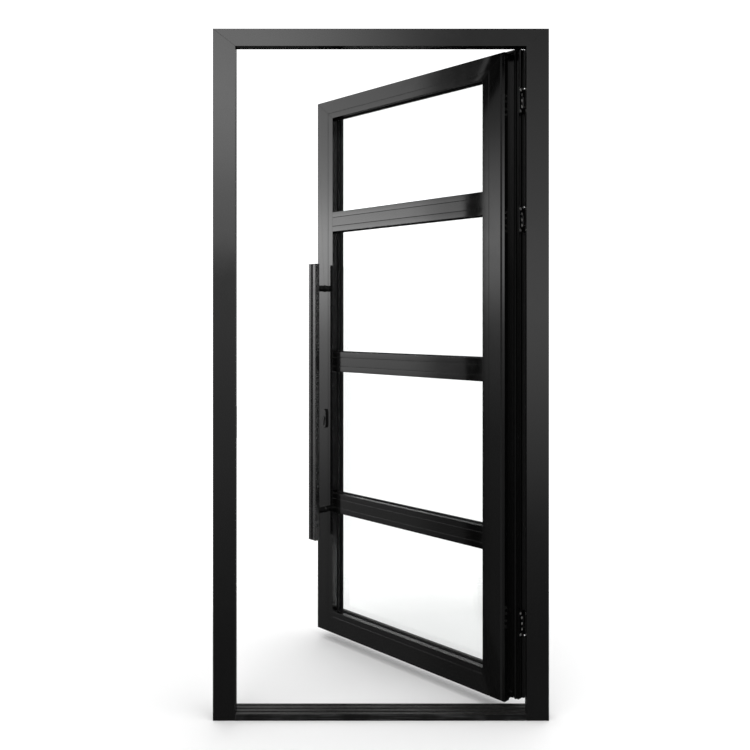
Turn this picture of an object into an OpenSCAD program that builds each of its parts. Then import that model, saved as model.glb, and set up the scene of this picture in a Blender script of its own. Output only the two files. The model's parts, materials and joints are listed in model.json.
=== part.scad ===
// Entrance door: a black aluminium frame with a glazed leaf that swings inward.
// X runs along the width, -Y is outdoors, +Y is indoors and Z is up.
// The origin is on the floor, at mid width and mid depth of the frame.
// Depths are counted from the outdoor face of the frame, towards indoors.

/* [Frame] */
// Overall width of the frame
frame_w = 1020; // [850:5:1250]
// Overall height of the frame
frame_h = 2100; // [1950:10:2600]
// Depth of the frame and of the leaf
frame_d = 70; // [66:1:90]
// Visible width of each jamb
jamb_face = 68; // [60:1:90]
// Visible height of the head
head_face = 53; // [45:1:80]
// Thickness of the outdoor lip that the leaf sits beside
lip_d = 20; // [16:1:22]
// Depth of the shoulder that the leaf's seal closes on
shoulder_d = 40; // [38:1:44]
// Step back from the lip to the rebate
rebate_step = 3; // [2:0.5:5]
// Step back from the lip to the recess for the leaf's flange
recess_step = 23; // [22:0.5:30]
// Wall thickness of the hollow profiles
wall = 2; // [1.5:0.1:2.5]
// Distance from the floor to the lowest wall fixing hole
fixing_rise = 150; // [100:10:250]
// Distance between wall fixing holes
fixing_pitch = 590; // [450:10:600]
// Radius of the wall fixing holes
fixing_r = 5.5; // [3.5:0.5:6]
// Number of wall fixing holes in each jamb
fixing_count = 4; // [2:1:4]

/* [Threshold] */
// Height of the threshold, ribs included
threshold_h = 20; // [18:1:25]
// Height of the ribs
rib_h = 2; // [1:0.5:3]
// Width of each rib
rib_w = 8; // [4:1:10]
// Number of ribs
rib_count = 4; // [3:1:5]

/* [Leaf] */
// Angle that the leaf stands open
open_angle = 45; // [0:1:90]
// Gap between the leaf and the frame's lip
leaf_gap = 4; // [3.5:0.5:6]
// Height of the leaf's lower edge above the floor
leaf_rise = 36.5; // [32:0.5:45]
// Visible width of each stile
stile_face = 85; // [78:1:110]
// Visible height of the top rail
top_face = 68; // [60:1:100]
// Visible height of each glazing rail
rail_face = 73; // [64:1:90]
// Visible height of the bottom rail
bottom_face = 81.5; // [78:0.5:140]
// Depth of the leaf without its flange
body_d = 45; // [43:1:50]
// Width of the flange beyond the body at the sides
flange_w = 20; // [16:0.5:20]
// Height of the middle of the lower rail
lower_rail_z = 528.5; // [450:0.5:600]
// Height of the middle of the middle rail
middle_rail_z = 1058.5; // [900:0.5:1150]
// Height of the middle of the upper rail
upper_rail_z = 1584; // [1400:1:1650]
// Width of the hardware groove in the leaf's edge
groove_w = 18; // [16:0.5:18]
// Depth of the hardware groove
groove_deep = 6; // [5:0.5:7]
// Depth at which the hardware groove starts
groove_start = 24; // [22:1:26]
// Distance from the glass edge of a stile to its face line
stile_line = 25; // [20:1:30]
// Distance from the edge of a rail to its face line
rail_line = 20; // [16:1:24]
// Distance from the outer edge of the hinge stile to its second line
edge_line = 13; // [10:1:20]

/* [Glazing] */
// Height of the outdoor glazing lip
glazing_lip = 22; // [20:0.5:26]
// Depth of the outdoor glass face
glass_front = 28; // [24:1:30]
// Thickness of each pane
pane_t = 6; // [4:1:6]
// Space between the panes
pane_space = 12; // [10:1:14]
// Thickness of the glazing seals
seal_t = 4; // [3:0.5:5]
// Width of seal that shows beyond the lip
seal_show = 3; // [1:0.5:4]
// Gap between the pane edge and the glazing pocket
pane_gap = 5; // [4:0.5:6]
// Height of the indoor glazing beads
bead_h = 16; // [14:0.5:20]

/* [Hinges] */
// Drop from the top of the leaf to the upper hinge
upper_hinge_drop = 144; // [120:1:220]
// Drop from the top of the leaf to the middle hinge
middle_hinge_drop = 515; // [400:1:900]
// Height of the lower hinge
lower_hinge_z = 270; // [200:1:320]
// Distance of the hinge axis from the indoor face
axis_proud = 19; // [17:0.5:22]
// Height of each hinge
hinge_h = 80; // [72:1:100]
// Radius of the hinge barrel
barrel_r = 12; // [11:0.5:13]
// Radius of the hinge pin
pin_r = 6; // [5:0.5:7]
// Height of the barrel part that turns with the leaf
knuckle_h = 34; // [28:1:40]
// Thickness of the hinge wings
wing_t = 3; // [2.5:0.1:3]

/* [Lock] */
// Height of the lock cylinder
lock_z = 841; // [780:1:1050]
// Distance from the leaf's edge to the lock cylinder and the pull bar
backset = 41; // [36:1:42]
// Travel of the dead bolt
bolt_throw = 20; // [14:1:20]
// Height of the dead bolt
bolt_h = 26; // [20:1:30]
// Thickness of the dead bolt
bolt_t = 9; // [7:0.5:9]
// Distance that the latch roller stands out of the leaf's edge
roller_proud = 4; // [2:0.5:4]
// Width of the escutcheons
escutcheon_w = 26; // [24:1:30]
// Height of the escutcheons
escutcheon_h = 72; // [60:1:80]

/* [Pull handles] */
// Height of the lower end of the pull bar
pull_base_z = 392; // [300:1:500]
// Length of the pull bar
pull_len = 1031; // [800:1:1200]
// Width of the pull bar
pull_w = 40; // [30:1:45]
// Thickness of the pull bar
pull_t = 20; // [14:1:25]
// Width of the channel down the front of the pull bar
channel_w = 9; // [6:1:14]
// Depth of that channel
channel_deep = 5; // [3:0.5:7]
// Clear space behind the pull bar
pull_clear = 44; // [40:1:60]
// Drop from the upper end of the bar to its upper post
upper_post_inset = 89; // [60:1:150]
// Rise from the lower end of the bar to its lower post
lower_post_inset = 104; // [60:1:150]
// Radius of the posts
post_r = 13; // [10:0.5:15]
// Height of the middle of the indoor pull
inner_pull_z = 1110; // [1000:1:1300]
// Distance between the feet of the indoor pull
inner_pull_span = 190; // [140:1:260]
// Distance that the indoor pull stands out
inner_pull_proud = 42; // [38:1:60]

/* [Drop seal] */
// Travel of the drop seal
drop_travel = 16; // [10:0.5:16]
// Width of the groove for the drop seal
drop_slot_w = 16; // [14:1:16]
// Height of the groove for the drop seal
drop_slot_h = 30; // [30:1:34]

/* [Hidden] */
$fn = 48;

coat = "#2c2c2c";
rubber = "#161616";
steel = "#8d8f92";
glass = "#cfe3e6";

half_d = frame_d / 2;
fit = 0.2;              // clearance of pieces that slide into each other
run_gap = 0.3;          // clearance of pieces that move past each other
hole_gap = 0.1;         // clearance of a screw in its hole
butt_gap = 0.1;         // joint between strips that are cut to meet
over = 1;               // how far a cut runs past the face it starts from
head_ratio = head_face / jamb_face;
lip_x = frame_w / 2 - jamb_face;
lip_z = frame_h - head_face;
rebate_x = lip_x + rebate_step;
recess_x = lip_x + recess_step;
frame_seal_d = 5;       // depth of the strip behind the lip
frame_seal_stand = rebate_step + 0.5;
frame_cleat = [34, 90]; // width and leg of the cleats in the frame's corners
bracket_len = 60;       // length of the blocks that hold the threshold

leaf_x = lip_x - leaf_gap;
leaf_top = lip_z - leaf_gap;
flange_x = leaf_x + flange_w;
flange_h = flange_w * top_face / stile_face;
seal_w = 5;             // width of the leaf's seal
seal_d = 4.7;           // depth of the leaf's seal, just under the gap it fills
flange_seal_deep = 6;   // depth of the seal on the flange's edge
flange_seal_proud = 2.5; // how far it stands out of the leaf's indoor face
flange_seal_gap = 1;    // clearance of that seal from the jamb and from the hinges
leaf_cleat = [30, 90];  // width and leg of the cleats in the leaf's corners
spigot_len = 55;        // length of the blocks in the rails' ends
lip_back = glass_front - seal_t;
glass_back = glass_front + 2 * pane_t + pane_space;
bead_front = glass_back + seal_t;
pocket_step = stile_face - glazing_lip;
pocket_x = leaf_x - pocket_step;
opening_x = leaf_x - stile_face;
rail_core = rail_face - 2 * glazing_lip;
rail_middles = [lower_rail_z, middle_rail_z, upper_rail_z];
line_w = 1.4;
line_deep = 1;
groove_mid = groove_start + groove_w / 2;

spacer_edge = 1;        // distance from the pane's edge to the spacer
spacer_w = 8;
outer_seal_w = 12;
inner_seal_w = 9;
bead_wall = 1.5;
bead_cut = 3;           // chamfer on the bead's indoor edge
block_len = 90;         // length of the blocks that the panes stand on
block_from_edge = 60;

axis_x = flange_x + wing_t - 1;
axis_depth = frame_d + axis_proud;
axis_y = axis_depth - half_d;
hinge_heights = [lower_hinge_z, leaf_top - middle_hinge_drop, leaf_top - upper_hinge_drop];
wing_front = shoulder_d + 7;
wing_back = frame_d + 2;
pin_head_h = 3;
bush_wall = 2;
bush_collar = 1.5;
bearing_gap = 0.1;
// Screws of the hinge halves: height from the hinge's middle and distance from the wing's front edge
leaf_screw_places = [[-33, 6], [-18, 13], [0, 13], [18, 13], [33, 6]];
frame_screw_places = [[-30, 11], [-12, 11], [12, 11], [30, 11]];
wing_screw_r = 2.4;
wing_screw_len = 14;

edge_x = -leaf_x;       // lock edge of the leaf
face_t = 3;             // thickness of the lock's faceplate
case_low = lock_z - 48;
case_high = lock_z + 112;
case_w = 52;
case_t = 14;
case_wall = 1.5;
faceplate_over = 20;    // how far the faceplate runs past the case at each end
faceplate_screw_over = 12;
faceplate_screw_r = 2;
bolt_z = lock_z + 40;
bolt_len = 34;
roller_z = lock_z + 86;
roller_r = 6;
carriage_w = 8;
carriage_len = 22;
carriage_h = 2 * roller_r + 2;
plug_r = 6.5;
plug_gap = 0.05;        // running clearance of the plug in the cylinder
key_slot = [1.4, 9, 8]; // width, depth and height of the key slot
cylinder_r = 8.5;
cylinder_tail_r = 5;
cylinder_drop = 24.5;   // from the plug's axis to the foot of the cylinder
cylinder_out = 11;      // how far the cylinder stands out of the outdoor face
cylinder_in = 7;        // how far it stands out of the indoor face
cam_r = 12.5;
cam_w = 9;
cam_side = 8;
cam_reach = norm([cam_r, cam_side / 2]);
cam_room_top = 20;      // the gap for the cam is open above the plug
turn_neck = [9, 7];     // radius and length of the thumb turn's neck
turn_grip = [7, 30];    // width and height of its grip
turn_grip_d = [4, 19];  // where the grip starts and ends
escutcheon_t = 8;
inner_escutcheon_t = 6;
strike_t = 1.5;
strike_gap = 1;         // clearance of the dead bolt in its strike
strike_low = bolt_z - 28;
strike_high = roller_z + 24;
strike_screw_in = 7;    // from the plate's ends to its screws

pull_x = edge_x + backset;
pull_mid_d = -pull_clear - pull_t / 2;
post_heights = [pull_base_z + lower_post_inset, pull_base_z + pull_len - upper_post_inset];
post_collar = [1.5, 3];  // how far the collar at the bar stands out, and its length
post_bolt_r = 4;
post_bolt_in = 20;      // how far the bolt reaches into the post
cap_nut = [7.5, 7];     // radius and height of the cap nuts
cap_nut_flange = [10, 2];
cap_nut_room = 5;       // depth of the bolt's hole in the cap nut
cap_plug_len = 12;      // how far the end caps reach into the bar
cap_plate_t = 2;
inner_pull_x = edge_x + 21;
inner_pull_r = 7;
inner_pull_bend = 16;
inner_pull_foot = [11, 3];

drop_mid_d = groove_mid + 2;
drop_wall = 1.2;
drop_lip_low = 0.5;     // heights above the leaf's lower edge
drop_lip_high = 6;
drop_bar_high = 17;
drop_lip_in = 1.5;      // how much narrower the lip is than its bar, on each side
plunger_r = 3.5;
plunger_z = leaf_rise + drop_slot_h - 8;
plunger_proud = 4;
plunger_len = 120;

// ---- helpers ----

// Turns what was drawn with the leaf shut to the angle that the leaf stands open
module place_leaf() {
  translate([axis_x, axis_y, 0]) rotate([0, 0, -open_angle]) translate([-axis_x, -axis_y, 0]) children();
}

// Box between two widths, two depths and two heights
module block(x, d, z) {
  translate([x[0], d[0] - half_d, z[0]]) cube([x[1] - x[0], d[1] - d[0], z[1] - z[0]]);
}

// Round bar along the depth
module rod_d(x, z, d, r) {
  translate([x, d[0] - half_d, z]) rotate([-90, 0, 0]) cylinder(h = d[1] - d[0], r = r);
}

// Round bar along the width
module rod_x(x, depth, z, r) {
  translate([x[0], depth - half_d, z]) rotate([0, 90, 0]) cylinder(h = x[1] - x[0], r = r);
}

// Section drawn as [depth, height], run along the width
module run_x(x) {
  translate([x[0], -half_d, 0]) rotate([90, 0, 90]) linear_extrude(x[1] - x[0]) children();
}

// Shape drawn as [x, z], run through the whole depth
module through_d(d) {
  translate([0, d[1] - half_d, 0]) rotate([90, 0, 0]) linear_extrude(d[1] - d[0]) children();
}

// Draws a thing and its mirror image on the other side of the door
module both_sides() {
  children();
  mirror([1, 0, 0]) children();
}

// Round-ended upright plate outline
module stadium(w, h) {
  square([w, h - w], center = true);
  translate([0, h / 2 - w / 2]) circle(w / 2);
  translate([0, w / 2 - h / 2]) circle(w / 2);
}

// Half plane on one side of the mitre between an upright and a top member
module mitre_side(x, z, face, top, above) {
  far = [x - 3 * face, z - 3 * top];
  near = [x + face, z + top];
  through_d([-frame_d, 2 * frame_d]) polygon([near, far, above ? [far[0], near[1]] : [near[0], far[1]]]);
}

// Countersunk screw along +X, its flat head at x
module screw_x(x, depth, z, r, len) {
  rod_x([x, x + len], depth, z, r);
  translate([x, depth - half_d, z]) rotate([0, 90, 0]) cylinder(h = r, r1 = 2 * r, r2 = r);
}

// Hole for a countersunk screw through a plate of thickness t
module screw_hole_x(x, depth, z, r, t) {
  screw_x(x, depth, z, r + hole_gap, t + over);
}

// Window for the dead bolt between two widths
module bolt_window(x, gap) {
  block(x, [groove_mid - bolt_t / 2 - gap, groove_mid + bolt_t / 2 + gap],
    [bolt_z - bolt_h / 2 - gap, bolt_z + bolt_h / 2 + gap]);
}

// Window for the latch between two widths
module latch_window(x) {
  block(x, [groove_mid - carriage_w / 2 - 1, groove_mid + carriage_w / 2 + 1],
    [roller_z - carriage_h / 2 - 1, roller_z + carriage_h / 2 + 1]);
}

// ---- frame ----

function frame_outline(k) = [[0, 0], [jamb_face * k, 0], [jamb_face * k, lip_d],
  [(jamb_face - rebate_step) * k, lip_d], [(jamb_face - rebate_step) * k, shoulder_d],
  [(jamb_face - recess_step) * k, shoulder_d], [(jamb_face - recess_step) * k, frame_d], [0, frame_d]];

module frame_section(k) {
  difference() {
    polygon(frame_outline(k));
    translate([wall, wall]) square([(jamb_face - rebate_step) * k - 2 * wall, shoulder_d - 2 * wall]);
    translate([wall, shoulder_d])
      square([(jamb_face - recess_step) * k - 2 * wall, frame_d - shoulder_d - wall]);
  }
}

module jamb_solid() {
  translate([frame_w / 2, -half_d, 0]) linear_extrude(frame_h) mirror([1, 0]) polygon(frame_outline(1));
}

module jamb() {
  difference() {
    translate([frame_w / 2, -half_d, 0]) linear_extrude(frame_h) mirror([1, 0]) frame_section(1);
    mitre_side(frame_w / 2, frame_h, jamb_face, head_face, true);
    for (i = [0 : fixing_count - 1])
      rod_x([lip_x, frame_w / 2 + over], (lip_d + shoulder_d) / 2,
        fixing_rise + i * fixing_pitch, fixing_r);
  }
}

module head() {
  color(coat) difference() {
    translate([-frame_w / 2, -half_d, frame_h]) rotate([0, 90, 0])
      linear_extrude(frame_w) frame_section(head_ratio);
    both_sides() mitre_side(frame_w / 2, frame_h, jamb_face, head_face, false);
  }
}

module hinge_jamb() {
  color(coat) difference() {
    jamb();
    for (h = hinge_heights, s = frame_screw_places)
      rod_x([recess_x - over, recess_x + wall + over], wing_front + s[1], h + s[0], wing_screw_r + hole_gap);
  }
}

function strike_screw_heights() = [strike_low + strike_screw_in, strike_high - strike_screw_in];

module lock_jamb() {
  color(coat) difference() {
    mirror([1, 0, 0]) jamb();
    bolt_window([-rebate_x - wall - over, -rebate_x + over], strike_gap);
    for (z = strike_screw_heights())
      mirror([1, 0, 0]) screw_hole_x(rebate_x - strike_t, groove_mid, z, wing_screw_r, wing_screw_len);
  }
}

module threshold_section() {
  base_h = threshold_h - rib_h;
  half_room = (frame_d - 3 * wall) / 2;
  difference() {
    union() {
      square([frame_d, base_h]);
      for (i = [0 : rib_count - 1])
        translate([i * (frame_d - rib_w) / (rib_count - 1), base_h - over]) square([rib_w, rib_h + over]);
    }
    for (i = [0, 1])
      translate([wall + i * (half_room + wall), wall]) square([half_room, base_h - 2 * wall]);
  }
}

module threshold() {
  color("#3a3a3a") difference() {
    run_x([-recess_x, recess_x]) threshold_section();
    both_sides() jamb_solid();
  }
}

module frame_corner_cleats() {
  width = frame_cleat[0];
  leg = frame_cleat[1];
  inset = wall + fit;
  out_x = frame_w / 2 - inset;
  out_z = frame_h - inset;
  depth = [inset, shoulder_d - inset];
  color(steel) both_sides() union() {
    block([out_x - width, out_x], depth, [out_z - leg, out_z]);
    block([out_x - leg, out_x], depth, [out_z - width * head_ratio, out_z]);
  }
}

module threshold_brackets() {
  room = (frame_d - 3 * wall) / 2;
  color(steel) both_sides()
    block([lip_x - bracket_len, lip_x],
      [wall + fit, wall + room - fit], [wall + fit, threshold_h - rib_h - wall - fit]);
}

// Soft strip behind the lip, on both jambs and the head
module frame_seal() {
  strip = [lip_d, lip_d + frame_seal_d];
  head_z = frame_h - (jamb_face - rebate_step) * head_ratio;
  low_z = head_z - frame_seal_stand * head_ratio;
  color(rubber) {
    both_sides() block([rebate_x - frame_seal_stand, rebate_x], strip, [threshold_h, low_z - butt_gap]);
    block([-rebate_x, rebate_x], strip, [low_z, head_z]);
  }
}

module strike_plate() {
  color(steel) difference() {
    block([-rebate_x, -rebate_x + strike_t], [lip_d + frame_seal_d + 0.5, shoulder_d],
      [strike_low, strike_high]);
    bolt_window([-rebate_x - over, -rebate_x + strike_t + over], strike_gap);
    for (z = strike_screw_heights())
      mirror([1, 0, 0]) screw_hole_x(rebate_x - strike_t, groove_mid, z, wing_screw_r, strike_t);
  }
}

module strike_screws() {
  color(steel) for (z = strike_screw_heights())
    mirror([1, 0, 0]) screw_x(rebate_x - strike_t, groove_mid, z, wing_screw_r, wing_screw_len);
}

// ---- hinges ----

module at_axis(z) {
  translate([axis_x, axis_y, z]) children();
}

module hinge_frame_half(z) {
  x = [recess_x - wing_t, recess_x];
  color(coat) difference() {
    union() {
      block(x, [wing_front, wing_back], [z - hinge_h / 2, z + hinge_h / 2]);
      for (part = [[-hinge_h / 2, -knuckle_h / 2 - bearing_gap], [knuckle_h / 2 + run_gap, hinge_h / 2]]) {
        block(x, [wing_front, axis_depth], [z + part[0], z + part[1]]);
        at_axis(z + part[0]) cylinder(h = part[1] - part[0], r = barrel_r);
      }
    }
    at_axis(z - hinge_h) cylinder(h = 2 * hinge_h, r = pin_r);
    for (s = frame_screw_places)
      screw_hole_x(recess_x - wing_t, wing_front + s[1], z + s[0], wing_screw_r, wing_t);
  }
}

module upper_hinge_frame_half() { hinge_frame_half(hinge_heights[2]); }
module middle_hinge_frame_half() { hinge_frame_half(hinge_heights[1]); }
module lower_hinge_frame_half() { hinge_frame_half(hinge_heights[0]); }

module hinge_pins() {
  color(steel) for (h = hinge_heights) {
    at_axis(h - hinge_h / 2) cylinder(h = hinge_h, r = pin_r);
    at_axis(h + hinge_h / 2) cylinder(h = pin_head_h, r1 = barrel_r - 2, r2 = barrel_r - 4);
  }
}

module hinge_frame_screws() {
  color(steel) for (h = hinge_heights, s = frame_screw_places)
    screw_x(recess_x - wing_t, wing_front + s[1], h + s[0], wing_screw_r, wing_screw_len);
}

module hinge_leaf_half(z) {
  x = [flange_x, flange_x + wing_t];
  color(coat) place_leaf() difference() {
    union() {
      block(x, [wing_front, wing_back], [z - hinge_h / 2, z + hinge_h / 2]);
      block(x, [wing_front, axis_depth], [z - knuckle_h / 2 + bush_collar, z + knuckle_h / 2]);
      at_axis(z - knuckle_h / 2 + bush_collar) cylinder(h = knuckle_h - bush_collar, r = barrel_r);
    }
    at_axis(z - hinge_h) cylinder(h = 2 * hinge_h, r = pin_r + bush_wall);
    for (s = leaf_screw_places)
      mirror([1, 0, 0]) screw_hole_x(-flange_x - wing_t, wing_front + s[1], z + s[0], wing_screw_r, wing_t);
  }
}

module upper_hinge_leaf_half() { hinge_leaf_half(hinge_heights[2]); }
module middle_hinge_leaf_half() { hinge_leaf_half(hinge_heights[1]); }
module lower_hinge_leaf_half() { hinge_leaf_half(hinge_heights[0]); }

module hinge_bushes() {
  color("#e8e8e0") place_leaf() for (h = hinge_heights) difference() {
    union() {
      at_axis(h - knuckle_h / 2) cylinder(h = bush_collar, r = barrel_r - 0.5);
      at_axis(h - knuckle_h / 2) cylinder(h = knuckle_h, r = pin_r + bush_wall);
    }
    at_axis(h - hinge_h) cylinder(h = 2 * hinge_h, r = pin_r + plug_gap);
  }
}

module hinge_leaf_screws() {
  color(steel) place_leaf() for (h = hinge_heights, s = leaf_screw_places)
    mirror([1, 0, 0]) screw_x(-flange_x - wing_t, wing_front + s[1], h + s[0], wing_screw_r, wing_screw_len);
}

// ---- leaf profiles ----

module face_line(p) {
  translate([p - line_w / 2, -over]) square([line_w, line_deep + over]);
}

// Section of a stile or of the top rail, drawn as [distance from the outer edge, depth]
module edge_section(face, flange, grooved, lines) {
  step = face - glazing_lip;
  inner = grooved ? groove_deep + wall : wall;
  difference() {
    polygon([[0, 0], [face, 0], [face, lip_back], [step, lip_back], [step, frame_d], [-flange, frame_d],
      [-flange, body_d], [0, body_d]]);
    if (grooved) translate([-over, groove_start]) square([groove_deep + over, groove_w]);
    translate([wall, wall]) square([face - 2 * wall, min(lip_back, groove_start) - 2 * wall]);
    translate([inner, lip_back]) square([step - wall - inner, frame_d - lip_back - wall]);
    translate([wall - flange, body_d + wall]) square([inner + flange, frame_d - body_d - 2 * wall]);
    for (p = lines) face_line(p);
  }
}

// Upright of the leaf on the hinge side, with nothing cut yet
module stile(lines) {
  difference() {
    translate([leaf_x, -half_d, leaf_rise]) linear_extrude(leaf_top + flange_h - leaf_rise) mirror([1, 0])
      edge_section(stile_face, flange_w, true, lines);
    mitre_side(leaf_x, leaf_top, stile_face, top_face, true);
  }
}

module hinge_stile() {
  color(coat) place_leaf() difference() {
    stile([stile_face - stile_line, edge_line]);
    for (h = hinge_heights, s = leaf_screw_places)
      rod_x([flange_x - wall - over, flange_x + over], wing_front + s[1], h + s[0], wing_screw_r + hole_gap);
    rod_x([pocket_x - over, leaf_x + over], drop_mid_d, plunger_z, plunger_r + run_gap);
  }
}

module lock_stile() {
  color(coat) place_leaf() difference() {
    mirror([1, 0, 0]) stile([stile_face - stile_line]);
    block([edge_x + groove_deep - over, edge_x + groove_deep + wall + over],
      [groove_mid - case_t / 2 - fit, groove_mid + case_t / 2 + fit], [case_low - fit, case_high + fit]);
    for (d = [[-over, lip_back + over], [frame_d - wall - over, frame_d + over]]) {
      through_d(d) translate([pull_x, lock_z]) cylinder_outline(fit);
      for (z = post_heights) rod_d(pull_x, z, d, post_bolt_r + fit);
    }
  }
}

module top_rail() {
  color(coat) place_leaf() difference() {
    translate([-flange_x, -half_d, leaf_top]) rotate([0, 90, 0]) linear_extrude(2 * flange_x)
      edge_section(top_face, flange_h, false, [top_face - rail_line]);
    both_sides() mitre_side(leaf_x, leaf_top, stile_face, top_face, false);
  }
}

// Cuts a rail back to the stiles' outdoor lips
module rail_end_cuts() {
  both_sides() block([opening_x, leaf_x], [-over, lip_back], [0, frame_h]);
}

// Section of a glazing rail about its middle, drawn as [depth, height]
module rail_section() {
  h = rail_face / 2;
  core = rail_core / 2;
  difference() {
    polygon([[0, -h], [lip_back, -h], [lip_back, -core], [frame_d, -core],
      [frame_d, core], [lip_back, core], [lip_back, h], [0, h]]);
    translate([wall, wall - h]) square([lip_back - 2 * wall, 2 * h - 2 * wall]);
    translate([lip_back, wall - core]) square([frame_d - lip_back - wall, 2 * core - 2 * wall]);
    for (z = [rail_line - h, h - rail_line])
      translate([-over, z - line_w / 2]) square([line_deep + over, line_w]);
  }
}

module glazing_rail(z) {
  color(coat) place_leaf() difference() {
    translate([0, 0, z]) run_x([-pocket_x, pocket_x]) rail_section();
    rail_end_cuts();
  }
}

module upper_rail() { glazing_rail(upper_rail_z); }
module middle_rail() { glazing_rail(middle_rail_z); }
module lower_rail() { glazing_rail(lower_rail_z); }

module bottom_section() {
  h = bottom_face;
  core = bottom_face - glazing_lip;
  slot = [drop_mid_d - drop_slot_w / 2, drop_mid_d + drop_slot_w / 2];
  difference() {
    polygon([[0, 0], [slot[0], 0], [slot[0], drop_slot_h], [slot[1], drop_slot_h], [slot[1], 0],
      [frame_d, 0], [frame_d, core], [lip_back, core], [lip_back, h], [0, h]]);
    translate([wall, wall]) square([lip_back - 2 * wall, h - 2 * wall]);
    translate([lip_back, drop_slot_h + wall])
      square([frame_d - lip_back - wall, core - drop_slot_h - 2 * wall]);
    translate([slot[1] + wall, wall]) square([frame_d - slot[1] - 2 * wall, drop_slot_h - wall]);
    translate([-over, h - rail_line - line_w / 2]) square([line_deep + over, line_w]);
  }
}

module bottom_rail() {
  color(coat) place_leaf() difference() {
    translate([0, 0, leaf_rise]) run_x([-pocket_x, pocket_x]) bottom_section();
    rail_end_cuts();
  }
}

module leaf_corner_cleats() {
  width = leaf_cleat[0];
  leg = leaf_cleat[1];
  inset = groove_deep + wall + fit;
  out_x = leaf_x - inset;
  out_z = leaf_top - inset;
  depth = [lip_back + fit, frame_d - wall - fit];
  color(steel) place_leaf() both_sides() union() {
    block([out_x - width, out_x], depth, [out_z - leg, out_z]);
    block([out_x - leg, out_x], depth, [out_z - width, out_z]);
  }
}

// Blocks inside the ends of the rails, screwed against the stiles
module rail_spigots() {
  low = leaf_rise + drop_slot_h + wall;
  high = leaf_rise + bottom_face - glazing_lip - wall;
  depth = [lip_back + fit, frame_d - wall - fit];
  x = [pocket_x - spigot_len, pocket_x];
  color(steel) place_leaf() both_sides() {
    for (z = rail_middles)
      block(x, depth, [z - rail_core / 2 + wall + fit, z + rail_core / 2 - wall - fit]);
    block(x, depth, [low + fit, high - fit]);
  }
}

// ---- glazing ----

// Lower and upper face of the glazing pocket of lite i, counted from the bottom
function pocket_low(i) = i == 0 ? leaf_rise + bottom_face - glazing_lip : rail_middles[i - 1] + rail_core / 2;
function pocket_high(i) = i == 3 ? leaf_top - top_face + glazing_lip : rail_middles[i] - rail_core / 2;

module pane(i, d) {
  block([pane_gap - pocket_x, pocket_x - pane_gap], d, [pocket_low(i) + pane_gap, pocket_high(i) - pane_gap]);
}

module outer_pane(i) {
  color(glass, 0.4) place_leaf() pane(i, [glass_front, glass_front + pane_t]);
}

module top_outer_pane() { outer_pane(3); }
module upper_outer_pane() { outer_pane(2); }
module lower_outer_pane() { outer_pane(1); }
module bottom_outer_pane() { outer_pane(0); }

module inner_panes() {
  color(glass, 0.4) place_leaf() for (i = [0 : 3]) pane(i, [glass_back - pane_t, glass_back]);
}

// Flat ring in the plane of the glass, between two distances from the pocket
module glass_ring(i, outer, inner, d) {
  difference() {
    block([outer - pocket_x, pocket_x - outer], d, [pocket_low(i) + outer, pocket_high(i) - outer]);
    block([inner - pocket_x, pocket_x - inner], [d[0] - over, d[1] + over],
      [pocket_low(i) + inner, pocket_high(i) - inner]);
  }
}

module glass_spacers() {
  edge = pane_gap + spacer_edge;
  color("#3b3b3b") place_leaf() for (i = [0 : 3])
    glass_ring(i, edge, edge + spacer_w, [glass_front + pane_t, glass_back - pane_t]);
}

module outer_glazing_seals() {
  edge = glazing_lip + seal_show;
  color(rubber) place_leaf() for (i = [0 : 3])
    glass_ring(i, edge - outer_seal_w, edge, [lip_back, glass_front]);
}

module inner_glazing_seals() {
  edge = bead_h + 1;
  color(rubber) place_leaf() for (i = [0 : 3])
    glass_ring(i, edge - inner_seal_w, edge, [glass_back, bead_front]);
}

// Bead section as [height above the pocket, depth], hollow, with a chamfered indoor edge
module bead_section() {
  cut_h = bead_h - bead_cut;
  cut_d = frame_d - bead_cut;
  difference() {
    polygon([[0, bead_front], [bead_h, bead_front], [bead_h, cut_d], [cut_h, frame_d], [0, frame_d]]);
    translate([bead_wall, bead_front + bead_wall])
      square([cut_h - 2 * bead_wall, frame_d - bead_front - 2 * bead_wall]);
  }
}

module glazing_beads() {
  color(coat) place_leaf() for (i = [0 : 3]) {
    low = pocket_low(i);
    high = pocket_high(i);
    translate([0, 0, low]) run_x([-pocket_x, pocket_x]) mirror([1, -1]) bead_section();
    translate([0, 0, high]) mirror([0, 0, 1]) run_x([-pocket_x, pocket_x]) mirror([1, -1]) bead_section();
    both_sides() translate([pocket_x, -half_d, low + bead_h + butt_gap])
      linear_extrude(high - low - 2 * bead_h - 2 * butt_gap)
      mirror([1, 0]) bead_section();
  }
}

module setting_blocks() {
  end = pocket_x - block_from_edge;
  color("#5a5a5a") place_leaf() for (i = [0 : 3]) both_sides()
    block([end - block_len, end], [glass_front, glass_back],
      [pocket_low(i), pocket_low(i) + pane_gap]);
}

// Soft strips that close on the frame's shoulder, and strips that cover the joint beside the flange
module leaf_seal() {
  x = [rebate_x + 1, rebate_x + 1 + seal_w];
  depth = [body_d - seal_d, body_d];
  head_seal = [leaf_top + (x[0] - leaf_x) * head_ratio, leaf_top + (x[1] - leaf_x) * head_ratio];
  color(rubber) place_leaf() {
    both_sides() block(x, depth, [leaf_rise, head_seal[0] - butt_gap]);
    block([-x[1], x[1]], depth, head_seal);
    difference() {
      both_sides() block([flange_x, recess_x - flange_seal_gap],
        [frame_d - flange_seal_deep, frame_d + flange_seal_proud], [leaf_rise, leaf_top + flange_h]);
      for (h = hinge_heights) block([flange_x - over, recess_x], [0, axis_depth],
        [h - hinge_h / 2 - flange_seal_gap, h + hinge_h / 2 + flange_seal_gap]);
    }
  }
}

// ---- lock ----

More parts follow.
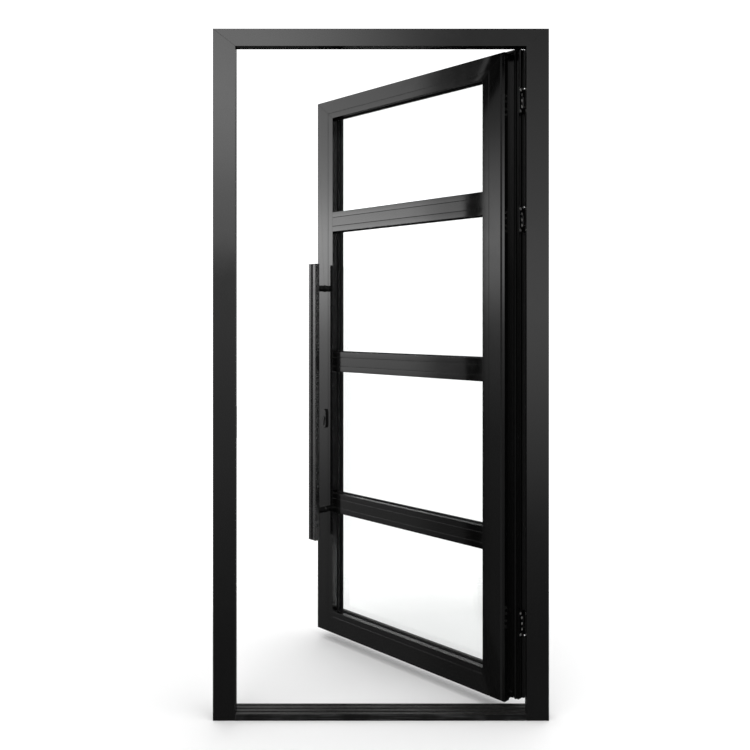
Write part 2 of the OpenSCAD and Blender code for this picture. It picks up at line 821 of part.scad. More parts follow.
// Outline of the lock cylinder as [x, z] about its plug, grown by a clearance
module cylinder_outline(grow) {
  r = cylinder_tail_r + grow;
  tail = cylinder_drop - cylinder_tail_r;
  circle(cylinder_r + grow);
  translate([0, -tail]) circle(r);
  translate([-r, -tail]) square([2 * r, tail]);
}

module lock_case() {
  x = [edge_x + groove_deep, edge_x + groove_deep + case_w];
  d = [groove_mid - case_t / 2, groove_mid + case_t / 2];
  color(steel) place_leaf() difference() {
    block(x, d, [case_low, case_high]);
    block([x[0] + case_wall, x[1] - case_wall], [d[0] + case_wall, d[1] - case_wall],
      [case_low + case_wall, case_high - case_wall]);
    bolt_window([x[0] - over, x[0] + case_wall + over], run_gap);
    latch_window([x[0] - over, x[0] + case_wall + over]);
    through_d([d[0] - over, d[1] + over]) translate([pull_x, lock_z]) cylinder_outline(fit);
  }
}

module faceplate_screw_at() {
  for (z = [case_low - faceplate_screw_over, case_high + faceplate_screw_over])
    translate([0, 0, z]) children();
}

module lock_faceplate() {
  x = [edge_x + groove_deep - face_t, edge_x + groove_deep];
  color(steel) place_leaf() difference() {
    block(x, [groove_start + fit, groove_start + groove_w - fit],
      [case_low - faceplate_over, case_high + faceplate_over]);
    bolt_window([x[0] - over, x[1] + over], run_gap);
    latch_window([x[0] - over, x[1] + over]);
    faceplate_screw_at() screw_hole_x(x[0], groove_mid, 0, faceplate_screw_r, face_t);
  }
}

module faceplate_screws() {
  color(steel) place_leaf() faceplate_screw_at()
    screw_x(edge_x + groove_deep - face_t, groove_mid, 0, faceplate_screw_r, face_t);
}

module lock_cylinder() {
  color(steel) place_leaf() difference() {
    through_d([-cylinder_out, frame_d + cylinder_in]) translate([pull_x, lock_z]) cylinder_outline(0);
    rod_d(pull_x, lock_z, [-cylinder_out - over, frame_d + cylinder_in + over], plug_r + plug_gap);
    block([pull_x - cam_room_top, pull_x + cam_room_top],
      [groove_mid - cam_w / 2 - run_gap, groove_mid + cam_w / 2 + run_gap],
      [lock_z - cam_reach - run_gap, lock_z + cam_room_top]);
  }
}

// Plug of the cylinder with its key slot and the cam that works the bolt
module key_plug() {
  color(steel) place_leaf() difference() {
    union() {
      rod_d(pull_x, lock_z, [-cylinder_out, frame_d + cylinder_in], plug_r);
      block([pull_x - cam_side / 2, pull_x + cam_side / 2],
        [groove_mid - cam_w / 2, groove_mid + cam_w / 2], [lock_z - cam_r, lock_z]);
    }
    block([pull_x - key_slot[0] / 2, pull_x + key_slot[0] / 2],
      [-cylinder_out - over, key_slot[1] - cylinder_out],
      [lock_z - key_slot[2] / 2, lock_z + key_slot[2] / 2]);
  }
}

module thumb_turn() {
  start = frame_d + cylinder_in;
  color(coat) place_leaf() {
    rod_d(pull_x, lock_z, [start, start + turn_neck[1]], turn_neck[0]);
    through_d([start + turn_grip_d[0], start + turn_grip_d[1]])
      translate([pull_x, lock_z]) stadium(turn_grip[0], turn_grip[1]);
  }
}

module outer_escutcheon() {
  color(coat) place_leaf() difference() {
    through_d([-escutcheon_t, 0]) translate([pull_x, lock_z]) stadium(escutcheon_w, escutcheon_h);
    through_d([-escutcheon_t - over, over]) translate([pull_x, lock_z]) cylinder_outline(fit);
  }
}

module inner_escutcheon() {
  color(coat) place_leaf() difference() {
    through_d([frame_d, frame_d + inner_escutcheon_t]) translate([pull_x, lock_z])
      stadium(escutcheon_w, escutcheon_h);
    through_d([frame_d - over, frame_d + inner_escutcheon_t + over])
      translate([pull_x, lock_z]) cylinder_outline(fit);
  }
}

module dead_bolt() {
  x = edge_x + groove_deep - face_t;
  color(steel) place_leaf()
    block([x, x + bolt_len], [groove_mid - bolt_t / 2, groove_mid + bolt_t / 2],
      [bolt_z - bolt_h / 2, bolt_z + bolt_h / 2]);
}

// Fork that slides in the lock and holds the roller
module roller_carriage() {
  x = edge_x - roller_proud + roller_r;
  color(steel) place_leaf() difference() {
    block([x - 2, x - 2 + carriage_len], [groove_mid - carriage_w / 2, groove_mid + carriage_w / 2],
      [roller_z - carriage_h / 2, roller_z + carriage_h / 2]);
    rod_d(x, roller_z, [groove_mid - carriage_w, groove_mid + carriage_w], roller_r + run_gap);
  }
}

module latch_roller() {
  x = edge_x - roller_proud + roller_r;
  half = carriage_w / 2 - fit;
  color(steel) place_leaf() rod_d(x, roller_z, [groove_mid - half, groove_mid + half], roller_r);
}

// ---- pull handles ----

// Channel down the front of the pull bar, grown by a wall, and run past the bar's ends
module bar_channel(grow, past) {
  block([pull_x - channel_w / 2 - grow, pull_x + channel_w / 2 + grow],
    [-pull_clear - pull_t - over, channel_deep + grow - pull_clear - pull_t],
    [pull_base_z - past, pull_base_z + pull_len + past]);
}

module pull_bar() {
  x = [pull_x - pull_w / 2, pull_x + pull_w / 2];
  d = [-pull_clear - pull_t, -pull_clear];
  z = [pull_base_z, pull_base_z + pull_len];
  color(coat) place_leaf() difference() {
    block(x, d, z);
    difference() {
      block([x[0] + wall, x[1] - wall], [d[0] + wall, d[1] - wall], [z[0] - over, z[1] + over]);
      bar_channel(wall, 2 * over);
    }
    bar_channel(0, over);
  }
}

module bar_end_caps() {
  half = [pull_w / 2, pull_t / 2];
  inset = wall + fit / 2;
  room_x = half[0] - inset;
  room_d = [channel_deep + inset - pull_clear - pull_t, -pull_clear - inset];
  color(coat) place_leaf() for (end = [[0, 1], [pull_len, -1]]) {
    z = pull_base_z + end[0];
    plug = z + cap_plug_len * end[1];
    plate = z - cap_plate_t * end[1];
    block([pull_x - room_x, pull_x + room_x], room_d, [min(z, plug), max(z, plug)]);
    block([pull_x - half[0], pull_x + half[0]], [pull_mid_d - half[1], pull_mid_d + half[1]],
      [min(z, plate), max(z, plate)]);
  }
}

module bar_posts() {
  color(coat) place_leaf() for (z = post_heights) difference() {
    union() {
      rod_d(pull_x, z, [-pull_clear, 0], post_r);
      rod_d(pull_x, z, [-pull_clear, post_collar[1] - pull_clear], post_r + post_collar[0]);
    }
    rod_d(pull_x, z, [-post_bolt_in - 2, over], post_bolt_r);
  }
}

module post_bolts() {
  color(steel) place_leaf() for (z = post_heights)
    rod_d(pull_x, z, [-post_bolt_in, frame_d + cap_nut_room], post_bolt_r);
}

module bolt_cap_nuts() {
  color(steel) place_leaf() for (z = post_heights) difference() {
    union() {
      rod_d(pull_x, z, [frame_d, frame_d + cap_nut_flange[1]], cap_nut_flange[0]);
      rod_d(pull_x, z, [frame_d, frame_d + cap_nut[1]], cap_nut[0]);
    }
    rod_d(pull_x, z, [frame_d - over, frame_d + cap_nut_room], post_bolt_r);
  }
}

// Round bar bent to a D, with a flat foot at each end
module inner_pull() {
  reach = inner_pull_proud - inner_pull_r;
  half = inner_pull_span / 2;
  bend = inner_pull_bend;
  color(coat) place_leaf() translate([inner_pull_x, frame_d - half_d, inner_pull_z]) {
    for (s = [0, 1]) mirror([0, 0, s]) {
      translate([0, 0, half]) rotate([-90, 0, 0]) cylinder(h = reach - bend, r = inner_pull_r);
      translate([0, 0, half]) rotate([-90, 0, 0]) cylinder(h = inner_pull_foot[1], r = inner_pull_foot[0]);
      translate([0, reach - bend, half - bend]) rotate([0, -90, 0]) rotate_extrude(angle = 90)
        translate([bend, 0]) circle(inner_pull_r);
    }
    translate([0, reach, bend - half]) cylinder(h = 2 * (half - bend), r = inner_pull_r);
  }
}

// ---- drop seal ----

module drop_seal_housing() {
  w = drop_slot_w / 2 - fit;
  z = [leaf_rise + 1, leaf_rise + drop_slot_h];
  color("#9a9c9e") place_leaf() difference() {
    block([-pocket_x, pocket_x], [drop_mid_d - w, drop_mid_d + w], z);
    block([-pocket_x - over, pocket_x + over], [drop_mid_d - w + drop_wall, drop_mid_d + w - drop_wall],
      [z[0] - over, z[1] - drop_wall]);
  }
}

module drop_seal_bar() {
  w = drop_slot_w / 2 - fit - drop_wall - run_gap;
  color("#b0b2b4") place_leaf()
    block([1 - pocket_x, pocket_x - 1], [drop_mid_d - w, drop_mid_d + w],
      [leaf_rise + drop_lip_high, leaf_rise + drop_bar_high]);
}

module drop_seal_lip() {
  w = drop_slot_w / 2 - fit - drop_wall - run_gap - drop_lip_in;
  color(rubber) place_leaf()
    block([1 - pocket_x, pocket_x - 1], [drop_mid_d - w, drop_mid_d + w],
      [leaf_rise + drop_lip_low, leaf_rise + drop_lip_high]);
}

module drop_seal_plunger() {
  color(steel) place_leaf()
    rod_x([pocket_x - plunger_len, leaf_x + plunger_proud], drop_mid_d, plunger_z, plunger_r);
}

head();
hinge_jamb();
lock_jamb();
threshold();
frame_corner_cleats();
threshold_brackets();
frame_seal();
upper_hinge_frame_half();
middle_hinge_frame_half();
lower_hinge_frame_half();
hinge_pins();
hinge_frame_screws();
strike_plate();
strike_screws();
hinge_stile();
lock_stile();
top_rail();
upper_rail();
middle_rail();
lower_rail();
bottom_rail();
leaf_corner_cleats();
rail_spigots();
top_outer_pane();
upper_outer_pane();
lower_outer_pane();
bottom_outer_pane();
inner_panes();
glass_spacers();
glazing_beads();
outer_glazing_seals();
inner_glazing_seals();
setting_blocks();
leaf_seal();
upper_hinge_leaf_half();
middle_hinge_leaf_half();
lower_hinge_leaf_half();
hinge_bushes();
hinge_leaf_screws();
lock_case();
lock_faceplate();
faceplate_screws();
lock_cylinder();
outer_escutcheon();
inner_escutcheon();
pull_bar();
bar_end_caps();
bar_posts();
post_bolts();
bolt_cap_nuts();
inner_pull();
drop_seal_housing();
dead_bolt();
roller_carriage();
latch_roller();
key_plug();
thumb_turn();
drop_seal_bar();
drop_seal_lip();
drop_seal_plunger();
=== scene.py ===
import json
import math

import bmesh
import bpy
from mathutils import Matrix, Vector


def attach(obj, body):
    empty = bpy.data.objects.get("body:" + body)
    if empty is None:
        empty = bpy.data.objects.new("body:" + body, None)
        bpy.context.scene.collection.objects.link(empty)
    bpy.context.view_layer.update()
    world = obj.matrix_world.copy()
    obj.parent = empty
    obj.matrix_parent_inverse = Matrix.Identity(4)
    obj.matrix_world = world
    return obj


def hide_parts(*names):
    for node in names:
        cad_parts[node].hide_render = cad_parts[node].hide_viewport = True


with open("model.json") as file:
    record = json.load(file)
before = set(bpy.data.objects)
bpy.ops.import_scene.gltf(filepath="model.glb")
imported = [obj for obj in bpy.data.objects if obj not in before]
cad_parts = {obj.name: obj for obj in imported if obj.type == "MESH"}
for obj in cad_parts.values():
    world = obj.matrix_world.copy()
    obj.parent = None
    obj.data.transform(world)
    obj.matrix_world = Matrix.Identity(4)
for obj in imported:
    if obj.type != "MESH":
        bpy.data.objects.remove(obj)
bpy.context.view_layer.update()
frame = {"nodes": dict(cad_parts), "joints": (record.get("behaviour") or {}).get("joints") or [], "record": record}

# Looks of a black glazed entrance door that stands half open in its frame.
# Everything is in metres. Leaf pieces are drawn with the leaf shut and then swung open with it.

nodes = frame["nodes"]
scene = bpy.context.scene

MM = 0.001
SWING = next(j for j in frame["joints"] if j["name"] == "leaf_swing")
SWING_AXIS = Vector(SWING["pos_m"])
STANDS_OPEN = math.radians(-SWING["range_deg"][0])
UP, OUTDOORS, INDOORS = Vector((0, 0, 1)), Vector((0, -1, 0)), Vector((0, 1, 0))
TO_LOCK, TO_HINGES = Vector((-1, 0, 0)), Vector((1, 0, 0))
AT_AXIS = Matrix.Translation(SWING_AXIS)
SHUTTING = AT_AXIS @ Matrix.Rotation(STANDS_OPEN, 4, "Z") @ AT_AXIS.inverted()
OPENING = SHUTTING.inverted()


# ---- node wiring ----

def wire(tree, kind, inputs=None, **settings):
    """Adds a shader node, sets its settings and fills or links its inputs."""
    node = tree.nodes.new(kind)
    for name, value in settings.items():
        setattr(node, name, value)
    for name, value in (inputs or {}).items():
        if isinstance(value, bpy.types.NodeSocket):
            tree.links.new(value, node.inputs[name])
        else:
            node.inputs[name].default_value = value
    return node


def maths(tree, operation, a, b=0.0, clamp=False):
    """One sum or function of two numbers."""
    return wire(tree, "ShaderNodeMath", {0: a, 1: b}, operation=operation, use_clamp=clamp).outputs[0]


def fade(tree, value, start, end, low=0.0, high=1.0):
    """Moves smoothly from low to high as value goes from start to end."""
    inputs = {"Value": value, "From Min": start, "From Max": end, "To Min": low, "To Max": high}
    return wire(tree, "ShaderNodeMapRange", inputs, interpolation_type="SMOOTHSTEP").outputs[0]


def blend_colour(tree, factor, a, b, mode="MIX"):
    """Mixes two colours."""
    node = wire(tree, "ShaderNodeMix", data_type="RGBA", blend_type=mode)
    for socket, value in ((node.inputs[0], factor), (node.inputs[6], a), (node.inputs[7], b)):
        if isinstance(value, bpy.types.NodeSocket):
            tree.links.new(value, socket)
        else:
            socket.default_value = value
    return node.outputs[2]


def fade_line(tree, value, start, end):
    """Moves in a straight line from 0 to 1 as value goes from start to end."""
    return wire(tree, "ShaderNodeMapRange", {"Value": value, "From Min": start, "From Max": end}).outputs[0]


def on_object(tree):
    """Place on the object, in metres."""
    return wire(tree, "ShaderNodeTexCoord").outputs["Object"]


def noise(tree, place, **inputs):
    """Cloudy texture between 0 and 1."""
    return wire(tree, "ShaderNodeTexNoise", {"Vector": place, **inputs}).outputs[0]


def grey(value):
    """A colour without a hue."""
    return (value, value, value, 1.0)


def new_group(name, inputs, outputs):
    """Starts a node group with named number inputs and outputs."""
    tree = bpy.data.node_groups.new(name, "ShaderNodeTree")
    for label, value in inputs.items():
        socket = tree.interface.new_socket(label, in_out="INPUT", socket_type="NodeSocketFloat")
        socket.default_value = value
    for label in outputs:
        tree.interface.new_socket(label, in_out="OUTPUT", socket_type="NodeSocketFloat")
    return tree, tree.nodes.new("NodeGroupInput"), tree.nodes.new("NodeGroupOutput")


def use_group(tree, group, **values):
    """Puts a node group to use with its own values."""
    node = tree.nodes.new("ShaderNodeGroup")
    node.node_tree = group
    for label, value in values.items():
        node.inputs[label.replace("_", " ")].default_value = value
    return node


# ---- shared surface effects ----

def powder_grain():
    """Fine orange peel of a baked coat, with slow changes of tone and gloss along a profile."""
    tree, given, put = new_group(
        "powder grain", {"Grain size": 0.0012, "Patch size": 0.3}, ["Height", "Tone", "Gloss"])
    place = on_object(tree)
    grain_scale = maths(tree, "DIVIDE", 1.0, given.outputs["Grain size"])
    patch_scale = maths(tree, "DIVIDE", 1.0, given.outputs["Patch size"])
    fine = noise(tree, place, Scale=grain_scale, Detail=2.0)
    slow = noise(tree, place, Scale=patch_scale, Detail=4.0)
    smudge = noise(tree, place, Scale=23.0, Detail=5.0, Roughness=0.7)
    tree.links.new(fine, put.inputs["Height"])
    tree.links.new(fade(tree, slow, 0.3, 0.7), put.inputs["Tone"])
    tree.links.new(fade(tree, smudge, 0.35, 0.75), put.inputs["Gloss"])
    return tree


def edge_wear():
    """Mask that is 1 on outer edges and 0 on flat faces, broken up where nothing has rubbed."""
    tree, given, put = new_group("edge wear", {"Width": 0.0008, "Amount": 0.5}, ["Mask"])
    rounded = wire(tree, "ShaderNodeBevel", {"Radius": given.outputs["Width"]}, samples=4)
    flat = wire(tree, "ShaderNodeNewGeometry").outputs["Normal"]
    agree = wire(tree, "ShaderNodeVectorMath", {0: rounded.outputs[0], 1: flat}, operation="DOT_PRODUCT")
    edge = fade(tree, agree.outputs["Value"], 0.995, 0.85)
    place = on_object(tree)
    rubs = noise(tree, place, Scale=60.0, Detail=6.0, Roughness=0.65)
    worn = maths(tree, "MULTIPLY", edge, fade(tree, rubs, 0.4, 0.65))
    tree.links.new(maths(tree, "MULTIPLY", worn, given.outputs["Amount"]), put.inputs["Mask"])
    return tree


def dust():
    """Thin dust that lies on what faces up."""
    tree, given, put = new_group("dust", {"Amount": 0.3}, ["Mask"])
    normal = wire(tree, "ShaderNodeNewGeometry").outputs["Normal"]
    upward = wire(tree, "ShaderNodeSeparateXYZ", {0: normal}).outputs["Z"]
    place = on_object(tree)
    specks = noise(tree, place, Scale=90.0, Detail=8.0, Roughness=0.8)
    lying = maths(tree, "MULTIPLY", fade(tree, upward, 0.6, 0.95), fade(tree, specks, 0.3, 0.75))
    tree.links.new(maths(tree, "MULTIPLY", lying, given.outputs["Amount"]), put.inputs["Mask"])
    return tree


def stretched_grain():
    """Fine lines along one direction, as rolling, brushing or extrusion leaves them."""
    inputs = {"Along X": 1.0, "Along Y": 1.0, "Along Z": 1.0, "Scale": 900.0}
    tree, given, put = new_group("stretched grain", inputs, ["Lines", "Patches"])
    place = on_object(tree)
    stretch = wire(tree, "ShaderNodeCombineXYZ", {
        "X": given.outputs["Along X"], "Y": given.outputs["Along Y"], "Z": given.outputs["Along Z"]})
    drawn = wire(tree, "ShaderNodeVectorMath", {0: place, 1: stretch.outputs[0]}, operation="MULTIPLY")
    lines = noise(tree, drawn.outputs[0], Scale=given.outputs["Scale"], Detail=3.0, Roughness=0.6)
    patches = noise(tree, place, Scale=14.0, Detail=4.0)
    tree.links.new(lines, put.inputs["Lines"])
    tree.links.new(patches, put.inputs["Patches"])
    return tree


POWDER, WEAR, DUST, GRAIN = powder_grain(), edge_wear(), dust(), stretched_grain()


# ---- finishes ----

COAT_DUST, SILL_DUST, RUBBER_DUST = (0.12, 0.115, 0.11, 1.0), (0.05, 0.048, 0.045, 1.0), grey(0.08)
WORN_COAT, WORN_SILL, WORN_METAL = grey(0.05), grey(0.09), grey(0.85)


def new_finish(name, **constants):
    """A material with its shader, and the constants that are the same all over it."""
    material = bpy.data.materials.new(name)
    material.use_nodes = True
    tree = material.node_tree
    shader = tree.nodes["Principled BSDF"]
    for label, value in constants.items():
        shader.inputs[label.replace("_", " ")].default_value = value
    return material, tree, shader


def bump_into(tree, shader, height, depth):
    """Presses a height into the surface, depth in metres."""
    bump = wire(tree, "ShaderNodeBump", {"Height": height, "Strength": 1.0, "Distance": depth})
    tree.links.new(bump.outputs[0], shader.inputs["Normal"])


def coat_finish(name, tone, gloss, sheen=0.5, grain=1.2 * MM, peel=2.0e-6, worn=0.35, dusty=0.12):
    """Satin powder coat: tone is its colour, gloss its roughness and sheen how strongly it reflects."""
    material, tree, shader = new_finish(name, Specular_IOR_Level=sheen)
    peel_group = use_group(tree, POWDER, Grain_size=grain)
    wear = use_group(tree, WEAR, Amount=worn).outputs["Mask"]
    fallen = use_group(tree, DUST, Amount=dusty).outputs["Mask"]
    colour = blend_colour(tree, peel_group.outputs["Tone"], grey(tone * 0.8), grey(tone * 1.2))
    colour = blend_colour(tree, wear, colour, WORN_COAT)
    colour = blend_colour(tree, fallen, colour, COAT_DUST)
    rough = fade(tree, peel_group.outputs["Gloss"], 0.0, 1.0, gloss * 0.85, gloss * 1.15)
    rough = maths(tree, "ADD", rough, maths(tree, "MULTIPLY", fallen, 0.5))
    tree.links.new(colour, shader.inputs["Base Color"])
    tree.links.new(rough, shader.inputs["Roughness"])
    bump_into(tree, shader, peel_group.outputs["Height"], peel)
    return material


def threshold_finish():
    """Black coat on a ribbed sill, rubbed along its ribs by feet."""
    material, tree, shader = new_finish("trodden coat", Specular_IOR_Level=0.16)
    streaks = use_group(tree, GRAIN, Along_X=0.02, Scale=420.0)
    fallen = use_group(tree, DUST, Amount=0.5).outputs["Mask"]
    wear = use_group(tree, WEAR, Amount=0.9, Width=1.2 * MM).outputs["Mask"]
    rubbed = fade(tree, streaks.outputs["Lines"], 0.42, 0.66)
    scuffed = maths(tree, "MULTIPLY", rubbed, fade(tree, streaks.outputs["Patches"], 0.35, 0.65))
    colour = blend_colour(tree, scuffed, grey(0.004), grey(0.03))
    colour = blend_colour(tree, wear, colour, WORN_SILL)
    colour = blend_colour(tree, fallen, colour, SILL_DUST)
    tree.links.new(colour, shader.inputs["Base Color"])
    tree.links.new(fade(tree, streaks.outputs["Lines"], 0.3, 0.7, 0.26, 0.44), shader.inputs["Roughness"])
    bump_into(tree, shader, streaks.outputs["Lines"], 6e-5)
    return material


def metal_finish(name, tone, gloss, along, scale=900.0, depth=8e-6):
    """Bare metal with a directional grain; along is how much each axis is stretched."""
    material, tree, shader = new_finish(name, Metallic=1.0)
    grain = use_group(tree, GRAIN, Along_X=along[0], Along_Y=along[1], Along_Z=along[2], Scale=scale)
    wear = use_group(tree, WEAR, Amount=0.6).outputs["Mask"]
    darker = tuple(c * 0.72 for c in tone) + (1.0,)
    colour = blend_colour(tree, fade(tree, grain.outputs["Lines"], 0.3, 0.7), darker, tone + (1.0,))
    colour = blend_colour(tree, wear, colour, WORN_METAL)
    tree.links.new(colour, shader.inputs["Base Color"])
    rough = fade(tree, grain.outputs["Patches"], 0.3, 0.7, gloss * 0.8, gloss * 1.3)
    tree.links.new(rough, shader.inputs["Roughness"])
    bump_into(tree, shader, grain.outputs["Lines"], depth)
    return material


def rubber_finish():
    """Matt black sealing rubber with faint extrusion lines."""
    material, tree, shader = new_finish("seal rubber", Specular_IOR_Level=0.2)
    grain = use_group(tree, GRAIN, Along_X=0.1, Along_Y=1.0, Along_Z=0.1, Scale=700.0)
    fallen = use_group(tree, DUST, Amount=0.25).outputs["Mask"]
    colour = blend_colour(tree, grain.outputs["Patches"], grey(0.002), grey(0.006))
    colour = blend_colour(tree, fallen, colour, RUBBER_DUST)
    tree.links.new(colour, shader.inputs["Base Color"])
    tree.links.new(fade(tree, grain.outputs["Lines"], 0.3, 0.7, 0.55, 0.8), shader.inputs["Roughness"])
    bump_into(tree, shader, grain.outputs["Lines"], 2e-5)
    return material


def plastic_finish(name, tone, gloss=0.45):
    """Moulded plastic with a fine spark-eroded texture."""
    material, tree, shader = new_finish(name)
    peel_group = use_group(tree, POWDER, Grain_size=0.6 * MM, Patch_size=0.08)
    lighter = tuple(min(1.0, c * 1.15) for c in tone) + (1.0,)
    colour = blend_colour(tree, peel_group.outputs["Tone"], tone + (1.0,), lighter)
    tree.links.new(colour, shader.inputs["Base Color"])
    rough = fade(tree, peel_group.outputs["Gloss"], 0.0, 1.0, gloss * 0.85, gloss * 1.2)
    tree.links.new(rough, shader.inputs["Roughness"])
    bump_into(tree, shader, peel_group.outputs["Height"], 8e-6)
    return material


def glass_finish():
    """Clear float glass, with faint wipe marks in its gloss."""
    material, tree, shader = new_finish("clear glass", Transmission_Weight=1.0, IOR=1.5, Metallic=0.0)
    place = on_object(tree)
    wiped = noise(tree, place, Scale=5.0, Detail=6.0, Distortion=1.5)
    tree.links.new(fade(tree, wiped, 0.55, 0.8, 0.0, 0.02), shader.inputs["Roughness"])
    tint = blend_colour(tree, wiped, (0.985, 0.995, 0.99, 1.0), (0.995, 1.0, 0.998, 1.0))
    tree.links.new(tint, shader.inputs["Base Color"])
    return material


COAT = coat_finish("satin black coat", tone=0.002, gloss=0.105)
HARDWARE_COAT = coat_finish("hardware coat", tone=0.006, gloss=0.24, grain=0.8 * MM, worn=0.5)
BAR_COAT = coat_finish("bar coat", tone=0.01, gloss=0.3, sheen=0.85, grain=0.8 * MM, worn=0.0)
THRESHOLD_COAT = threshold_finish()
STEEL = metal_finish("brushed steel", (0.46, 0.465, 0.47), 0.3, (1.0, 1.0, 0.03))
ZINC = metal_finish("zinc plate", (0.74, 0.74, 0.72), 0.5, (1.0, 0.05, 1.0), scale=1400.0)
MILL = metal_finish("mill aluminium", (0.62, 0.63, 0.64), 0.36, (0.02, 1.0, 1.0), scale=500.0)
RUBBER = rubber_finish()
NYLON = plastic_finish("nylon", (0.62, 0.61, 0.56))
BLOCK_PLASTIC = plastic_finish("block plastic", (0.09, 0.09, 0.095), gloss=0.55)
SPACER = plastic_finish("spacer foam", (0.02, 0.02, 0.021), gloss=0.6)
GLASS = glass_finish()

FINISHES = {
    "black_coat": COAT, "threshold_metal": THRESHOLD_COAT, "mill_aluminium": MILL, "steel": STEEL,
    "seal_rubber": RUBBER, "plastic": BLOCK_PLASTIC, "clear_glass": GLASS}
OWN_FINISH = {
    "hinge_bushes": NYLON, "glass_spacers": SPACER, "outer_escutcheon": HARDWARE_COAT,
    "inner_escutcheon": HARDWARE_COAT, "lock_cylinder": HARDWARE_COAT, "key_plug": HARDWARE_COAT,
    "bar_end_caps": BAR_COAT}
EDGE_RADIUS = {"black_coat": 0.5 * MM, "threshold_metal": 0.4 * MM, "mill_aluminium": 0.3 * MM,
               "steel": 0.25 * MM, "seal_rubber": 0.5 * MM, "plastic": 0.4 * MM}
OWN_EDGE_RADIUS = {"outer_escutcheon": 1.2 * MM, "inner_escutcheon": 1.2 * MM, "leaf_seal": 0.6 * MM}
for hinge in ("upper", "middle", "lower"):
    for half in ("frame", "leaf"):
        OWN_EDGE_RADIUS[f"{hinge}_hinge_{half}_half"] = 0.8 * MM


def smooth_shading():
    """Geometry nodes that shade every face and edge smooth, so that the softened corners catch light."""
    tree = bpy.data.node_groups.new("smooth shading", "GeometryNodeTree")
    tree.interface.new_socket("Geometry", in_out="INPUT", socket_type="NodeSocketGeometry")
    tree.interface.new_socket("Geometry", in_out="OUTPUT", socket_type="NodeSocketGeometry")
    geometry = tree.nodes.new("NodeGroupInput").outputs[0]
    for domain in ("EDGE", "FACE"):
        shade = tree.nodes.new("GeometryNodeSetShadeSmooth")
        shade.domain = domain
        tree.links.new(geometry, shade.inputs["Geometry"])
        geometry = shade.outputs[0]
    tree.links.new(geometry, tree.nodes.new("NodeGroupOutput").inputs[0])
    return tree


SMOOTH_SHADING = smooth_shading()


def soften_corners(piece, radius, segments=2):
    """Rounds a piece's sharp corners and keeps its flat faces flat to the eye."""
    weld = piece.modifiers.new("weld", "WELD")
    weld.merge_threshold = 0.005 * MM
    soften = piece.modifiers.new("soften", "BEVEL")
    soften.width = radius
    soften.segments = segments
    soften.limit_method = "ANGLE"
    soften.angle_limit = math.radians(40)
    piece.modifiers.new("smooth", "NODES").node_group = SMOOTH_SHADING
    even = piece.modifiers.new("even", "WEIGHTED_NORMAL")
    even.mode = "FACE_AREA"
    even.weight = 100


def dress_cad_nodes():
    """Gives each carried-over part its finish and softens its corners."""
    slots = {part["node"]: part["material_slot"] for part in frame["record"]["subparts"]}
    for name, node in nodes.items():
        slot = slots[name]
        node.data.materials.clear()
        node.data.materials.append(OWN_FINISH.get(name, FINISHES[slot]))
        if slot != "clear_glass":
            soften_corners(node, OWN_EDGE_RADIUS.get(name, EDGE_RADIUS[slot]))


dress_cad_nodes()


# ---- building pieces ----

def solid_boxes(name, on_leaf=True):
    """Lowest and highest corner of each solid of a CAD part, lowest first, as it lies with the leaf shut."""
    bm = bmesh.new()
    bm.from_mesh(nodes[name].data)
    if on_leaf:
        bmesh.ops.transform(bm, matrix=SHUTTING, verts=bm.verts[:])
    bmesh.ops.remove_doubles(bm, verts=bm.verts[:], dist=0.001 * MM)
    reached, boxes = set(), []
    for start in bm.verts:
        if start in reached:
            continue
        island = [start]
        reached.add(start)
        for vert in island:
            for edge in vert.link_edges:
                other = edge.other_vert(vert)
                if other not in reached:
                    reached.add(other)
                    island.append(other)
        low = Vector([min(vert.co[i] for vert in island) for i in range(3)])
        high = Vector([max(vert.co[i] for vert in island) for i in range(3)])
        boxes.append((low, high))
    bm.free()
    return sorted(boxes, key=lambda corners: (round(corners[0].z, 5), round(corners[0].x, 5)))


def aim(bm, verts, direction, place):
    """Turns what was built along Z to a direction and moves it to its place."""
    turn = direction.to_track_quat("Z", "Y").to_matrix().to_4x4()
    bmesh.ops.transform(bm, matrix=Matrix.Translation(place) @ turn, verts=verts)


def turned(bm, profile, direction, place, steps=40, lobes=None):
    """Adds a turned shape: profile is [radius, height] from pole to pole, lobes is (count, reach, share)."""
    before = set(bm.verts)
    verts = [bm.verts.new((radius, 0, height)) for radius, height in profile]
    edges = [bm.edges.new(pair) for pair in zip(verts, verts[1:])]
    bmesh.ops.spin(bm, geom=verts + edges, cent=(0, 0, 0), axis=(0, 0, 1), angle=2 * math.pi, steps=steps,
                   use_merge=True, use_duplicate=False)
    made = [vert for vert in bm.verts if vert not in before]
    bmesh.ops.remove_doubles(bm, verts=made, dist=0.001 * MM)
    made = [vert for vert in bm.verts if vert not in before]
    if lobes:
        count, reach, share = lobes
        for vert in made:
            across = math.hypot(vert.co.x, vert.co.y)
            if 0 < across <= reach:
                swell = 1 + share * math.cos(count * math.atan2(vert.co.y, vert.co.x))
                vert.co.x, vert.co.y = vert.co.x * swell, vert.co.y * swell
    aim(bm, made, direction, place)


def rounding(radius, height, edge, steps=4):
    """Profile points of a rounded outer edge whose top is at height."""
    turns = [math.radians(90 * step / steps) for step in range(steps + 1)]
    return [(radius - edge + edge * math.cos(t), height - edge + edge * math.sin(t)) for t in turns]


def dome(radius, start, rise, steps=7):
    """Profile points of a dome from its rim to its pole."""
    turns = [math.radians(90 * step / steps) for step in range(steps + 1)]
    return [(radius * math.cos(t) if step < steps else 0.0, start + rise * math.sin(t))
            for step, t in enumerate(turns)]


